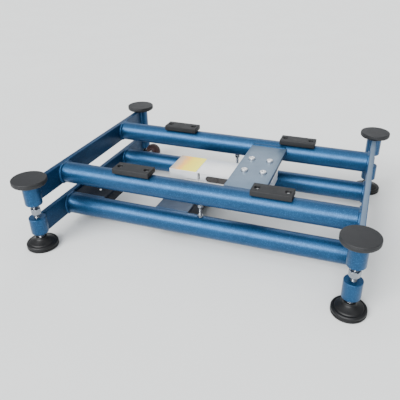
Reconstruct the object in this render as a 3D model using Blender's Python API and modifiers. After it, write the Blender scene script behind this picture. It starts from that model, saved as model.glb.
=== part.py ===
# Open-frame bench platform scale: a tubular load frame carried on one
# single-point load cell above a tubular base frame with four screw feet.
# Frame: origin on the floor under the middle of the frame, +X along the tubes,
# +Y to the rear, +Z up.  Metres.
import math

import bmesh
import bpy

# ---------------------------------------------------------------- dimensions
GAP = 0.0003                 # clearance kept between touching pieces

PLATE_X = 0.222              # end plate mid-plane and boss centres
BOSS_Y = 0.1665              # boss centres
BOSS_R = 0.012
END_PLATE_T = 0.008
END_PLATE_H = 0.0308

TUBE_Y = 0.091               # tube centres
TUBE_R = 0.0159
TUBE_WALL = 0.0025
UPPER_TUBE_Z = 0.08715
LOWER_TUBE_Z = 0.0331

UPPER_PLATE_Z = (0.0726, 0.1034)
LOWER_PLATE_Z = (0.0196, 0.0504)
UPPER_BOSS_Z = (0.0712, 0.1035)
LOWER_BOSS_Z = (0.0239, 0.0494)

THREAD_R = 0.0049            # M10 rods, drawn plain
THREAD_BORE_R = 0.00515
STOP_R = 0.0039              # M8 stop screws, drawn plain
STOP_BORE_R = 0.0042
BORE_STEP_Z = 0.0385         # where the lower boss bore narrows

PAD_R = 0.0240
PAD_TOP_Z = 0.1115
PAD_STEM_END_Z = 0.088

REST_X = (-0.1015, 0.1033)   # rest block centres, left and right
REST_LEN = 0.057
REST_WID = 0.0242
REST_Z = (0.10335, 0.1113)
REST_HOLE_PITCH = 0.042
REST_HEAD_R = 0.0034
REST_CBORE_R = 0.0042
REST_SHANK_R = 0.0020

BRIDGE_X = (0.0295, 0.0885)
BRIDGE_Z = (0.0915, 0.0975)
BRIDGE_PAD_X = (0.0330, 0.0858)
BRIDGE_PAD_Y = 0.0260
BRIDGE_HOLES_X = (0.0445, 0.0730)
BRIDGE_HOLES_Y = 0.021
BRIDGE_HEAD_R = 0.0048
BRIDGE_HEAD_Z = (0.0947, 0.1007)
BRIDGE_CBORE_R = 0.0053
BRIDGE_SHANK_R = 0.0029
BRIDGE_BORE_R = 0.0033

CELL_X = (-0.076, 0.0858)
CELL_Y = 0.026
CELL_Z = (0.0655, 0.085)
CAVITY_X = (-0.0105, 0.0205)  # lobe centres
CAVITY_R = 0.0054
CAVITY_Z = 0.0758
SLOT_X = (-0.0287, -0.0249)
SLOT_Z = (0.0708, 0.0840)
SLIT_X_END = -0.0494
SLIT_Z = (0.0711, 0.0724)
LABEL_GROOVE_X = -0.0310

CHANNEL_X = (-0.0764, -0.0216)
CHANNEL_Z = (0.0195, 0.0470)
CHANNEL_T = 0.004
RISER_X = (-0.074, -0.034)
RISER_Z = (0.0473, 0.0652)
BASE_BOLTS_X = (-0.063, -0.041)
BASE_BOLTS_Y = 0.017
BASE_BOLT_BORE_R = 0.0044

COLUMN_X = (-0.2177, -0.1609)
COLUMN_Y = (-0.0830, -0.0250)
COLUMN_Z = (0.0300, 0.0470)
COLUMN_BOLT = (-0.182, -0.0616)

NUT_AF = 0.013
NUT_Z = (0.0552, 0.0642)
STOP_Z = (0.042, 0.0699)

FOOT_R = 0.0225
FOOT_NECK_R = 0.0080
FOOT_NECK_Z = 0.0174
FOOT_SOCKET_Z = 0.0065
STUD_Z = (0.0068, 0.035)

CSTOP_SHANK_R = 0.0023
CSTOP_HEAD_R = 0.0039
CSTOP_Z = (0.042, 0.0652, 0.0699)
CSTOP_BORE_R = 0.0026

KNOB_X = -0.179
KNOB_Z = 0.0386
KNOB_R = 0.0133
KNOB_Y = (0.1195, 0.1290)
KNOB_SCREW_R = 0.0039
KNOB_BORE_R = 0.0042

TUBE_STEPS = 32
ROUND_STEPS = 24
BOSS_STEPS = 24
SMALL_STEPS = 16
SCREW_STEPS = 12

# ------------------------------------------------------------- start clean
for obj in list(bpy.data.objects):
    bpy.data.objects.remove(obj, do_unlink=True)

scene = bpy.context.scene
PARTS = bpy.data.collections.new("platform_scale")
CUTTERS = bpy.data.collections.new("cutters")
scene.collection.children.link(PARTS)
scene.collection.children.link(CUTTERS)


# --------------------------------------------------------------- materials
def material(name, rgb, rough, metal):
    mat = bpy.data.materials.new(name)
    mat.use_nodes = True
    bsdf = mat.node_tree.nodes["Principled BSDF"]
    bsdf.inputs["Base Color"].default_value = (*rgb, 1.0)
    bsdf.inputs["Roughness"].default_value = rough
    bsdf.inputs["Metallic"].default_value = metal
    mat.diffuse_color = (*rgb, 1.0)
    return mat


FRAME_BLUE = ((0.032, 0.126, 0.270), 0.38, 0.35)
PLATE_GREY = ((0.270, 0.350, 0.430), 0.42, 0.35)
RUBBER = ((0.030, 0.031, 0.033), 0.75, 0.0)
FOOT_BLACK = ((0.012, 0.012, 0.013), 0.45, 0.0)
ZINC = ((0.720, 0.730, 0.740), 0.28, 1.0)
ALUMINIUM = ((0.700, 0.710, 0.730), 0.40, 1.0)
KNOB_BROWN = ((0.040, 0.026, 0.026), 0.50, 0.0)


# ------------------------------------------------------------ modelling kit
def finish(obj, look=None, collection=None):
    (collection or PARTS).objects.link(obj)
    if look is not None:
        obj.data.materials.append(material(obj.name, *look))
    return obj


def as_cutter(obj):
    obj.hide_render = True
    obj.display_type = "WIRE"
    return obj


def smooth(obj, degrees=35.0):
    obj.data.shade_smooth()
    obj.data.set_sharp_from_angle(angle=math.radians(degrees))


def box_mesh(name, lo, hi):
    """A box whose mesh is centred on its own origin; returns mesh and centre."""
    mesh = bpy.data.meshes.new(name)
    bm = bmesh.new()
    bmesh.ops.create_cube(bm, size=1.0)
    size = [hi[i] - lo[i] for i in range(3)]
    bmesh.ops.scale(bm, vec=size, verts=bm.verts)
    bm.to_mesh(mesh)
    bm.free()
    return mesh, [(hi[i] + lo[i]) / 2.0 for i in range(3)]


def box(name, lo, hi, look=None, bevel=0.0, segments=2, cutter=False):
    mesh, centre = box_mesh(name, lo, hi)
    obj = bpy.data.objects.new(name, mesh)
    obj.location = centre
    finish(obj, look, CUTTERS if cutter else PARTS)
    if bevel:
        mod = obj.modifiers.new("rounded_edges", "BEVEL")
        mod.width = bevel
        mod.segments = segments
        mod.limit_method = "ANGLE"
        mod.angle_limit = math.radians(40)
    return as_cutter(obj) if cutter else obj


def cylinder(name, radius, lo, hi, centre, axis="Z", segments=SMALL_STEPS,
             look=None, cutter=False):
    """A cylinder from lo to hi along axis, through centre in the other two."""
    mesh = bpy.data.meshes.new(name)
    bm = bmesh.new()
    bmesh.ops.create_cone(bm, cap_ends=True, segments=segments,
                          radius1=radius, radius2=radius, depth=hi - lo)
    bm.to_mesh(mesh)
    bm.free()
    obj = bpy.data.objects.new(name, mesh)
    mid = (hi + lo) / 2.0
    if axis == "Z":
        obj.location = (centre[0], centre[1], mid)
    elif axis == "X":
        obj.location = (mid, centre[0], centre[1])
        obj.rotation_euler = (0.0, math.pi / 2.0, 0.0)
    else:
        obj.location = (centre[0], mid, centre[1])
        obj.rotation_euler = (math.pi / 2.0, 0.0, 0.0)
    finish(obj, look, CUTTERS if cutter else PARTS)
    if look is not None:
        smooth(obj)
    return as_cutter(obj) if cutter else obj


def profile_mesh(name, points):
    """A turning profile in the XZ plane, listed down its outer side."""
    mesh = bpy.data.meshes.new(name)
    bm = bmesh.new()
    verts = [bm.verts.new((r, 0.0, z)) for r, z in points]
    for a, b in zip(verts, verts[1:]):
        bm.edges.new((a, b))
    bm.to_mesh(mesh)
    bm.free()
    return mesh


def turned(name, points, location, steps, look, mesh=None, rotation=None):
    mesh = mesh or profile_mesh(name, points)
    obj = bpy.data.objects.new(name, mesh)
    obj.location = location
    if rotation is not None:
        obj.rotation_euler = rotation
    PARTS.objects.link(obj)
    if not mesh.materials:
        mesh.materials.append(material(name, *look))
    mod = obj.modifiers.new("turned", "SCREW")
    mod.axis = "Z"
    mod.steps = steps
    mod.render_steps = steps
    mod.use_merge_vertices = True
    mod.merge_threshold = 0.00002
    mod.use_smooth_shade = True
    return obj


def boolean(obj, cutter, operation="DIFFERENCE"):
    mod = obj.modifiers.new("with_" + cutter.name, "BOOLEAN")
    mod.operation = operation
    mod.solver = "EXACT"
    mod.object = cutter
    return mod


CORNERS = [("front_left", -1, -1), ("front_right", 1, -1),
           ("rear_left", -1, 1), ("rear_right", 1, 1)]


# ------------------------------------------------------------------- tubes
def tube(name, y, z):
    obj = cylinder(name, TUBE_R, -PLATE_X + END_PLATE_T / 2 + GAP,
                   PLATE_X - END_PLATE_T / 2 - GAP, (y, z), "X",
                   TUBE_STEPS, FRAME_BLUE)
    bore = cylinder("bore_" + name, TUBE_R - TUBE_WALL, -0.24, 0.24, (y, z),
                    "X", TUBE_STEPS, cutter=True)
    boolean(obj, bore)
    return obj


tubes = {}
for side, y in (("front", -TUBE_Y), ("rear", TUBE_Y)):
    tubes["load", side] = tube("load_tube_" + side, y, UPPER_TUBE_Z)
    tubes["base", side] = tube("base_tube_" + side, y, LOWER_TUBE_Z)

# -------------------------------------------------------------- end plates
PLATE_Y = BOSS_Y - BOSS_R - GAP
for side, sx in (("left", -1), ("right", 1)):
    x = sx * PLATE_X
    for body, zs in (("load", UPPER_PLATE_Z), ("base", LOWER_PLATE_Z)):
        box(body + "_end_plate_" + side,
            (x - END_PLATE_T / 2, -PLATE_Y, zs[0]),
            (x + END_PLATE_T / 2, PLATE_Y, zs[1]),
            FRAME_BLUE, bevel=0.0008, segments=1)

# ------------------------------------------------------------------ bosses
z0, z1 = UPPER_BOSS_Z
bore_end = PAD_STEM_END_Z - 0.0015
upper_boss = [(0.0, bore_end), (THREAD_BORE_R, bore_end), (THREAD_BORE_R, z1),
              (BOSS_R, z1), (BOSS_R, z0), (0.0, z0)]
lower_boss = [(THREAD_BORE_R, LOWER_BOSS_Z[0]), (THREAD_BORE_R, BORE_STEP_Z),
              (STOP_BORE_R, BORE_STEP_Z), (STOP_BORE_R, LOWER_BOSS_Z[1]),
              (BOSS_R, LOWER_BOSS_Z[1]), (BOSS_R, LOWER_BOSS_Z[0]),
              (THREAD_BORE_R, LOWER_BOSS_Z[0])]
upper_mesh = profile_mesh("load_boss", upper_boss)
lower_mesh = profile_mesh("base_boss", lower_boss)
upper_mesh.materials.append(material("load_boss", *FRAME_BLUE))
lower_mesh.materials.append(material("base_boss", *FRAME_BLUE))
for corner, sx, sy in CORNERS:
    at = (sx * PLATE_X, sy * BOSS_Y, 0.0)
    turned("load_boss_" + corner, None, at, BOSS_STEPS, None, upper_mesh)
    turned("base_boss_" + corner, None, at, BOSS_STEPS, None, lower_mesh)

# ---------------------------------------------------------------- pan pads
top = PAD_TOP_Z
pad = [(0.0, top), (PAD_R - 0.0010, top), (PAD_R, top - 0.0010),
        (PAD_R, top - 0.0060), (PAD_R - 0.0016, top - 0.0077),
        (THREAD_R, top - 0.0077), (THREAD_R, PAD_STEM_END_Z),
        (0.0, PAD_STEM_END_Z)]
pad_mesh = profile_mesh("pan_pad", pad)
pad_mesh.materials.append(material("pan_pad", *RUBBER))
for corner, sx, sy in CORNERS:
    turned("pan_pad_" + corner, None, (sx * PLATE_X, sy * BOSS_Y, 0.0),
           ROUND_STEPS, None, pad_mesh)

# ------------------------------------------------- rest blocks and screws
head_z0 = REST_Z[1] - 0.0062
head_z1 = REST_Z[1] - 0.0030
rest_screw = [(0.0, head_z1 - 0.0014), (0.0017, head_z1 - 0.0014),
              (0.0017, head_z1), (REST_HEAD_R, head_z1), (REST_HEAD_R, head_z0),
              (REST_SHANK_R, head_z0), (REST_SHANK_R, 0.0955), (0.0, 0.0955)]
rest_screw_mesh = profile_mesh("rest_block_screw", rest_screw)
rest_screw_mesh.materials.append(material("rest_block_screw", *ZINC))
for corner, sx, sy in CORNERS:
    cx, cy = REST_X[(sx + 1) // 2], sy * TUBE_Y
    block = box("rest_block_" + corner,
                (cx - REST_LEN / 2, cy - REST_WID / 2, REST_Z[0]),
                (cx + REST_LEN / 2, cy + REST_WID / 2, REST_Z[1]),
                RUBBER, bevel=0.0006, segments=1)
    tube_obj = tubes["load", "front" if sy < 0 else "rear"]
    for tag, k in (("inner", -sx), ("outer", sx)):
        hx = cx + k * REST_HOLE_PITCH / 2
        cbore = cylinder("counterbore_" + corner + "_" + tag, REST_CBORE_R,
                         head_z0 - GAP, 0.115, (hx, cy),
                         segments=SCREW_STEPS, cutter=True)
        hole = cylinder("hole_" + corner + "_" + tag, REST_SHANK_R + 0.0003,
                        0.0950, 0.115, (hx, cy), segments=SCREW_STEPS,
                        cutter=True)
        boolean(block, cbore)
        boolean(block, hole)
        boolean(tube_obj, hole)
        turned("rest_block_screw_" + corner + "_" + tag, None, (hx, cy, 0.0),
               SCREW_STEPS, None, rest_screw_mesh)

# ------------------------------------------------ bridge plate and screws
bridge = box("bridge_plate", (BRIDGE_X[0], -0.0770, BRIDGE_Z[0]),
             (BRIDGE_X[1], 0.0770, BRIDGE_Z[1]), PLATE_GREY)
bridge_pad = box("bridge_pad", (BRIDGE_PAD_X[0], -BRIDGE_PAD_Y, CELL_Z[1] + GAP),
                 (BRIDGE_PAD_X[1], BRIDGE_PAD_Y, BRIDGE_Z[0] + 0.001), cutter=True)
boolean(bridge, bridge_pad, "UNION")
for side, y in (("front", -TUBE_Y), ("rear", TUBE_Y)):
    boolean(bridge, cylinder("cope_bridge_" + side, TUBE_R + GAP, 0.0, 0.12,
                             (y, UPPER_TUBE_Z), "X", TUBE_STEPS, cutter=True))

cell = box("load_cell", (CELL_X[0], -CELL_Y, CELL_Z[0]),
           (CELL_X[1], CELL_Y, CELL_Z[1]), ALUMINIUM)

bridge_screw = [(0.0, BRIDGE_HEAD_Z[1] - 0.0028), (0.0025, BRIDGE_HEAD_Z[1] - 0.0028),
                (0.0025, BRIDGE_HEAD_Z[1]), (BRIDGE_HEAD_R, BRIDGE_HEAD_Z[1]),
                (BRIDGE_HEAD_R, BRIDGE_HEAD_Z[0]), (BRIDGE_SHANK_R, BRIDGE_HEAD_Z[0]),
                (BRIDGE_SHANK_R, 0.0690), (0.0, 0.0690)]
bridge_screw_mesh = profile_mesh("bridge_screw", bridge_screw)
bridge_screw_mesh.materials.append(material("bridge_screw", *ZINC))
for tag, sx, sy in (("front_inner", 0, -1), ("front_outer", 1, -1),
                    ("rear_inner", 0, 1), ("rear_outer", 1, 1)):
    hx, hy = BRIDGE_HOLES_X[sx], sy * BRIDGE_HOLES_Y
    cbore = cylinder("cbore_bridge_" + tag, BRIDGE_CBORE_R, BRIDGE_HEAD_Z[0] - GAP,
                     0.105, (hx, hy), cutter=True)
    hole = cylinder("bore_bridge_" + tag, BRIDGE_BORE_R, 0.060, 0.105,
                    (hx, hy), cutter=True)
    boolean(bridge, cbore)
    boolean(bridge, hole)
    boolean(cell, hole)
    turned("bridge_screw_" + tag, None, (hx, hy, 0.0), SMALL_STEPS, None,
           bridge_screw_mesh)

# --------------------------------------------------------------- load cell
# The measuring cavity is a slot with round ends, the overload slit is an L.
boolean(cell, cylinder("cavity_left", CAVITY_R, -0.04, 0.04,
                       (CAVITY_X[0], CAVITY_Z), "Y", SMALL_STEPS, cutter=True))
boolean(cell, cylinder("cavity_right", CAVITY_R, -0.04, 0.04,
                       (CAVITY_X[1], CAVITY_Z), "Y", SMALL_STEPS, cutter=True))
boolean(cell, box("cavity_middle", (CAVITY_X[0], -0.04, CAVITY_Z - CAVITY_R * 0.985),
                  (CAVITY_X[1], 0.04, CAVITY_Z + CAVITY_R * 0.985), cutter=True))
boolean(cell, box("slot_upright", (SLOT_X[0], -0.04, SLOT_Z[0]),
                  (SLOT_X[1], 0.04, SLOT_Z[1]), cutter=True))
boolean(cell, box("slit_level", (SLIT_X_END, -0.04, SLIT_Z[0]),
                  (SLOT_X[0] + 0.001, 0.04, SLIT_Z[1]), cutter=True))
boolean(cell, box("label_groove", (LABEL_GROOVE_X - 0.0004, -0.04, CELL_Z[1] - 0.0005),
                  (LABEL_GROOVE_X + 0.0004, 0.04, 0.09), cutter=True))

# --------------------------------------------------------- base cross-members
def channel(name, x0, x1, ys, zs, sides):
    """An inverted U channel in the base, coped to the lower tubes it meets."""
    obj = box(name, (x0, ys[0], zs[0]), (x1, ys[1], zs[1]),
              FRAME_BLUE, bevel=0.0012, segments=1)
    boolean(obj, box("inside_" + name, (x0 + CHANNEL_T, -0.1, 0.0),
                     (x1 - CHANNEL_T, 0.1, zs[1] - CHANNEL_T), cutter=True))
    for side, y in sides:
        boolean(obj, cylinder("cope_" + name + "_" + side, TUBE_R + GAP,
                              x0 - 0.01, x1 + 0.01, (y, LOWER_TUBE_Z), "X",
                              TUBE_STEPS, cutter=True))
    return obj


FRONT_SIDE, REAR_SIDE = ("front", -TUBE_Y), ("rear", TUBE_Y)
cross = channel("cell_cross_channel", *CHANNEL_X, (-0.0830, 0.0830), CHANNEL_Z,
                (FRONT_SIDE, REAR_SIDE))
column = channel("column_mount_channel", *COLUMN_X, COLUMN_Y, COLUMN_Z, (FRONT_SIDE,))
riser = box("cell_riser_block", (RISER_X[0], -CELL_Y, RISER_Z[0]),
            (RISER_X[1], CELL_Y, RISER_Z[1]), ALUMINIUM, bevel=0.0005, segments=1)
for i, bx in enumerate(BASE_BOLTS_X):
    for side, sy in (("front", -1), ("rear", 1)):
        tag = ("outer" if i == 0 else "inner") + "_" + side
        hole = cylinder("base_bolt_bore_" + tag, BASE_BOLT_BORE_R, 0.010, 0.0693,
                        (bx, sy * BASE_BOLTS_Y), cutter=True)
        boolean(cross, hole)
        boolean(riser, hole)
        boolean(cell, hole)
boolean(column, cylinder("column_bolt_bore", 0.0028, 0.035, 0.060, COLUMN_BOLT,
                         cutter=True))

# --------------------------------------------------------- corner hardware
def hex_prism(name, across_flats, z0, z1, location, look):
    mesh = bpy.data.meshes.new(name)
    bm = bmesh.new()
    r = across_flats / 2.0 / math.cos(math.pi / 6.0)
    bmesh.ops.create_cone(bm, cap_ends=True, segments=6, radius1=r, radius2=r,
                          depth=z1 - z0)
    bm.to_mesh(mesh)
    bm.free()
    obj = bpy.data.objects.new(name, mesh)
    obj.location = (location[0], location[1], (z0 + z1) / 2.0)
    return finish(obj, look)


stop = [(0.0, STOP_Z[1]), (STOP_R - 0.0006, STOP_Z[1]),
        (STOP_R, STOP_Z[1] - 0.0006), (STOP_R, STOP_Z[0]), (0.0, STOP_Z[0])]
stud = [(0.0, STUD_Z[1]), (THREAD_R, STUD_Z[1]), (THREAD_R, STUD_Z[0]),
        (0.0, STUD_Z[0])]
foot = [(0.0, FOOT_SOCKET_Z), (THREAD_BORE_R, FOOT_SOCKET_Z),
        (THREAD_BORE_R, FOOT_NECK_Z), (FOOT_NECK_R, FOOT_NECK_Z)]
foot += [(FOOT_NECK_R + 0.0006, 0.0148), (0.0118, 0.0122), (0.0178, 0.0092),
         (0.0212, 0.0082), (FOOT_R, 0.0066), (FOOT_R, 0.0008), (0.0218, 0.0),
         (0.0, 0.0)]
stop_mesh = profile_mesh("stop_screw", stop)
stud_mesh = profile_mesh("foot_stud", stud)
foot_mesh = profile_mesh("foot_base", foot)
stop_mesh.materials.append(material("stop_screw", *ZINC))
stud_mesh.materials.append(material("foot_stud", *ZINC))
foot_mesh.materials.append(material("foot_base", *FOOT_BLACK))
for corner, sx, sy in CORNERS:
    at = (sx * PLATE_X, sy * BOSS_Y, 0.0)
    turned("stop_screw_" + corner, None, at, SMALL_STEPS, None, stop_mesh)
    turned("foot_stud_" + corner, None, at, SMALL_STEPS, None, stud_mesh)
    turned("foot_base_" + corner, None, at, ROUND_STEPS, None, foot_mesh)
    nut = hex_prism("lock_nut_" + corner, NUT_AF, *NUT_Z, at, ZINC)
    boolean(nut, cylinder("nut_bore_" + corner, STOP_BORE_R, 0.050, 0.070,
                          at, cutter=True))

# ------------------------------------------------------------ centre stops
cstop = [(0.0, CSTOP_Z[2]), (CSTOP_HEAD_R, CSTOP_Z[2]), (CSTOP_HEAD_R, CSTOP_Z[1]),
         (CSTOP_SHANK_R, CSTOP_Z[1]), (CSTOP_SHANK_R, CSTOP_Z[0]), (0.0, CSTOP_Z[0])]
cstop_mesh = profile_mesh("centre_stop", cstop)
cstop_mesh.materials.append(material("centre_stop", *ZINC))
for side, y in (("front", -TUBE_Y), ("rear", TUBE_Y)):
    boolean(tubes["base", side],
            cylinder("centre_stop_bore_" + side, CSTOP_BORE_R, 0.038, 0.060,
                     (0.0, y), cutter=True))
    turned("centre_stop_" + side, None, (0.0, y, 0.0), SMALL_STEPS, None, cstop_mesh)

# ------------------------------------------------------- column clamp knob
# Turned about +Y: the local profile runs along Z and is laid over to the rear.
k0, k1 = KNOB_Y
knob = [(0.0, k1), (KNOB_R - 0.0018, k1), (KNOB_R, k1 - 0.0018),
        (KNOB_R, k0), (0.0072, k0), (0.0066, k0 - 0.0042), (KNOB_SCREW_R, k0 - 0.0042),
        (KNOB_SCREW_R, 0.0990), (0.0, 0.0990)]
turned("column_clamp_knob", knob, (KNOB_X, 0.0, KNOB_Z), ROUND_STEPS, KNOB_BROWN,
       rotation=(-math.pi / 2.0, 0.0, 0.0))
boolean(tubes["base", "rear"],
        cylinder("knob_bore", KNOB_BORE_R, 0.095, 0.115, (KNOB_X, KNOB_Z), "Y",
                 cutter=True))
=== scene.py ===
import math

import bmesh
import bpy
from mathutils import Matrix, Vector


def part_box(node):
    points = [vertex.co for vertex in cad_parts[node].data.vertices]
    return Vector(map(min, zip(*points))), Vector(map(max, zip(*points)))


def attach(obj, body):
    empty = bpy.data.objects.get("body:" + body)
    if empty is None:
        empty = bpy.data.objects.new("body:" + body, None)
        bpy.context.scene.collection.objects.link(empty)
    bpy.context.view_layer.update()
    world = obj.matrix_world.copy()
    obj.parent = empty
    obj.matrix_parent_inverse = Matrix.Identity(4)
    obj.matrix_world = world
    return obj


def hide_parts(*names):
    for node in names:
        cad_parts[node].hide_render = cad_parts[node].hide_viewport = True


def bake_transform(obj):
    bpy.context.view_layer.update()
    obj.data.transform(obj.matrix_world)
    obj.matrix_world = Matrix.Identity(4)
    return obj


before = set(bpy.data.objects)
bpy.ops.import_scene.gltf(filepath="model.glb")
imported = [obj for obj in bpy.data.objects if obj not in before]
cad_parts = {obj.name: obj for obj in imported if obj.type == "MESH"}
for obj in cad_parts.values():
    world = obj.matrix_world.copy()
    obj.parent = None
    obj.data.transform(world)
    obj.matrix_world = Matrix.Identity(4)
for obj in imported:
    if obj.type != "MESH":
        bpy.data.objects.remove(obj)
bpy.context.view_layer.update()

scene = bpy.context.scene
TAU = 2.0 * math.pi

# ---------------------------------------------------------------------------
# camera
# ---------------------------------------------------------------------------
CAM_POS = Vector((0.2129, -0.6274, 0.4045))
CAM_DIR = Vector((-0.2724033, 0.8276593, -0.49068985)).normalized()
CAM_ROLL = math.radians(0.1927)
cam_data = bpy.data.cameras.new("camera")
cam = bpy.data.objects.new("camera", cam_data)
scene.collection.objects.link(cam)
right = CAM_DIR.cross(Vector((0, 0, 1))).normalized()
up = right.cross(CAM_DIR)
r2 = right * math.cos(CAM_ROLL) + up * math.sin(CAM_ROLL)
u2 = up * math.cos(CAM_ROLL) - right * math.sin(CAM_ROLL)
cam.matrix_world = Matrix((
    (r2.x, u2.x, -CAM_DIR.x, CAM_POS.x),
    (r2.y, u2.y, -CAM_DIR.y, CAM_POS.y),
    (r2.z, u2.z, -CAM_DIR.z, CAM_POS.z),
    (0, 0, 0, 1)))
cam_data.sensor_width = 36.0
cam_data.lens = 42.225
cam_data.shift_x = -0.0610
cam_data.shift_y = -0.0051
cam_data.clip_start = 0.01
cam_data.clip_end = 50.0
scene.camera = cam


# ---------------------------------------------------------------------------
# materials
# ---------------------------------------------------------------------------
class Mat:
    """A Principled material and short ways to wire procedural detail into it."""

    def __init__(self, name, rough, metal=0.0, **sockets):
        self.m = bpy.data.materials.new(name)
        self.m.use_nodes = True
        self.nt = self.m.node_tree
        self.b = self.nt.nodes["Principled BSDF"]
        self.b.inputs["Roughness"].default_value = rough
        self.b.inputs["Metallic"].default_value = metal
        for k, v in sockets.items():
            self.b.inputs[k.replace("_", " ")].default_value = v
        self.coord = self.nt.nodes.new("ShaderNodeTexCoord").outputs["Object"]

    def node(self, kind, **props):
        n = self.nt.nodes.new(kind)
        for k, v in props.items():
            setattr(n, k, v)
        return n

    def link(self, a, b):
        self.nt.links.new(a, b)

    def scaled(self, vec):
        n = self.node("ShaderNodeMapping")
        n.inputs["Scale"].default_value = vec
        self.link(self.coord, n.inputs["Vector"])
        return n.outputs["Vector"]

    def noise(self, scale, detail=3.0, rough=0.55, vec=None, distortion=0.0):
        n = self.node("ShaderNodeTexNoise")
        n.inputs["Scale"].default_value = scale
        n.inputs["Detail"].default_value = detail
        n.inputs["Roughness"].default_value = rough
        n.inputs["Distortion"].default_value = distortion
        self.link(vec or self.coord, n.inputs["Vector"])
        return n.outputs["Fac"]

    def cells(self, scale, vec=None, feature="F1", out="Distance"):
        n = self.node("ShaderNodeTexVoronoi", feature=feature)
        n.inputs["Scale"].default_value = scale
        self.link(vec or self.coord, n.inputs["Vector"])
        return n.outputs[out]

    def ramp(self, value, stops):
        n = self.node("ShaderNodeValToRGB")
        el = n.color_ramp.elements
        while len(el) > 1:
            el.remove(el[0])
        el[0].position = stops[0][0]
        el[0].color = colour(stops[0][1])
        for pos, col in stops[1:]:
            e = el.new(pos)
            e.color = colour(col)
        self.link(value, n.inputs["Fac"])
        return n.outputs["Color"]

    def span(self, value, lo, hi, to_lo, to_hi):
        n = self.node("ShaderNodeMapRange")
        for key, v in (("From Min", lo), ("From Max", hi), ("To Min", to_lo), ("To Max", to_hi)):
            n.inputs[key].default_value = v
        self.link(value, n.inputs["Value"])
        return n.outputs["Result"]

    def math(self, op, a, b=None):
        n = self.node("ShaderNodeMath", operation=op)
        for i, v in enumerate((a, b)):
            if v is None:
                continue
            if isinstance(v, (int, float)):
                n.inputs[i].default_value = v
            else:
                self.link(v, n.inputs[i])
        return n.outputs[0]

    def mix(self, fac, a, b, blend="MIX"):
        n = self.node("ShaderNodeMix", data_type="RGBA", blend_type=blend)
        for sock, v in ((n.inputs[0], fac), (n.inputs[6], a), (n.inputs[7], b)):
            if isinstance(v, (int, float)):
                sock.default_value = v
            elif isinstance(v, (tuple, list)):
                sock.default_value = colour(v)
            else:
                self.link(v, sock)
        return n.outputs[2]

    def base(self, col):
        if isinstance(col, (tuple, list)):
            self.b.inputs["Base Color"].default_value = colour(col)
        else:
            self.link(col, self.b.inputs["Base Color"])

    def rough(self, value):
        self.link(value, self.b.inputs["Roughness"])

    def bump(self, *layers):
        """layers are (height, strength, distance in metres)."""
        last = None
        for height, strength, dist in layers:
            n = self.node("ShaderNodeBump")
            n.inputs["Strength"].default_value = strength
            n.inputs["Distance"].default_value = dist
            self.link(height, n.inputs["Height"])
            if last is not None:
                self.link(last, n.inputs["Normal"])
            last = n.outputs["Normal"]
        self.link(last, self.b.inputs["Normal"])

    def normal_part(self, axis="Z"):
        g = self.node("ShaderNodeTexCoord")
        s = self.node("ShaderNodeSeparateXYZ")
        self.link(g.outputs["Normal"], s.inputs[0])
        return s.outputs[axis]

    def pointy(self):
        return self.node("ShaderNodeNewGeometry").outputs["Pointiness"]


def lin(c):
    c = c / 255.0
    return c / 12.92 if c <= 0.04045 else ((c + 0.055) / 1.055) ** 2.4


def rgb(r, g, b):
    return (lin(r), lin(g), lin(b))


def colour(c):
    return (c[0], c[1], c[2], 1.0)


def paint(name, dark, mid, light, painted_reflection_top=None, rough=(0.38, 0.46), metal=0.72, painted_reflection_amount=0.88,
          coat=0.24, spec=0.5):
    """Satin powder coat: a fine metallic speckle, soft mottling, orange peel."""
    m = Mat(name, 0.40, metal, Coat_Weight=coat, Coat_Roughness=0.34, Specular_IOR_Level=spec)
    mottle = m.noise(24.0, 3.0, 0.55)
    body = m.ramp(mottle, [(0.25, dark), (0.52, mid), (0.80, light)])
    flake = m.cells(1700.0, out="Color")
    sep = m.node("ShaderNodeSeparateColor")
    m.link(flake, sep.inputs[0])
    spark = m.span(sep.outputs[0], 0.72, 1.0, 0.0, 0.50)
    body = m.mix(spark, body, tuple(min(1.0, c * 2.6 + 0.03) for c in light))
    grain = m.noise(1800.0, 2.0, 0.6)
    shade = m.span(grain, 0.3, 0.7, 0.90, 1.09)
    body = m.mix(1.0, body, m.grey(shade), "MULTIPLY")
    # Up-facing faces are mixed towards a paler, slightly noisy colour: painted reflection of the bright
    # surroundings on flat tops.
    if painted_reflection_top is not None:
        painted_reflection_mask = m.span(m.normal_part("Z"), 0.90, 0.995, 0.0, painted_reflection_amount)
        dust_and_reflection = m.mix(m.span(m.noise(60.0, 4.0), 0.3, 0.7, 0.0, 1.0),
                     tuple(c * 0.92 for c in painted_reflection_top), tuple(c * 1.06 for c in painted_reflection_top))
        dust_and_reflection = m.mix(1.0, dust_and_reflection, m.grey(m.span(grain, 0.3, 0.7, 0.93, 1.06)), "MULTIPLY")
        body = m.mix(painted_reflection_mask, body, dust_and_reflection)
    m.base(body)
    m.rough(m.span(m.noise(90.0, 3.0), 0.3, 0.7, rough[0], rough[1]))
    m.bump((m.noise(520.0, 2.0), 0.14, 0.00008), (grain, 0.10, 0.00003))
    return m.m


def grey(self, value):
    n = self.node("ShaderNodeCombineColor")
    for i in range(3):
        self.link(value, n.inputs[i])
    return n.outputs[0]


Mat.grey = grey

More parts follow.
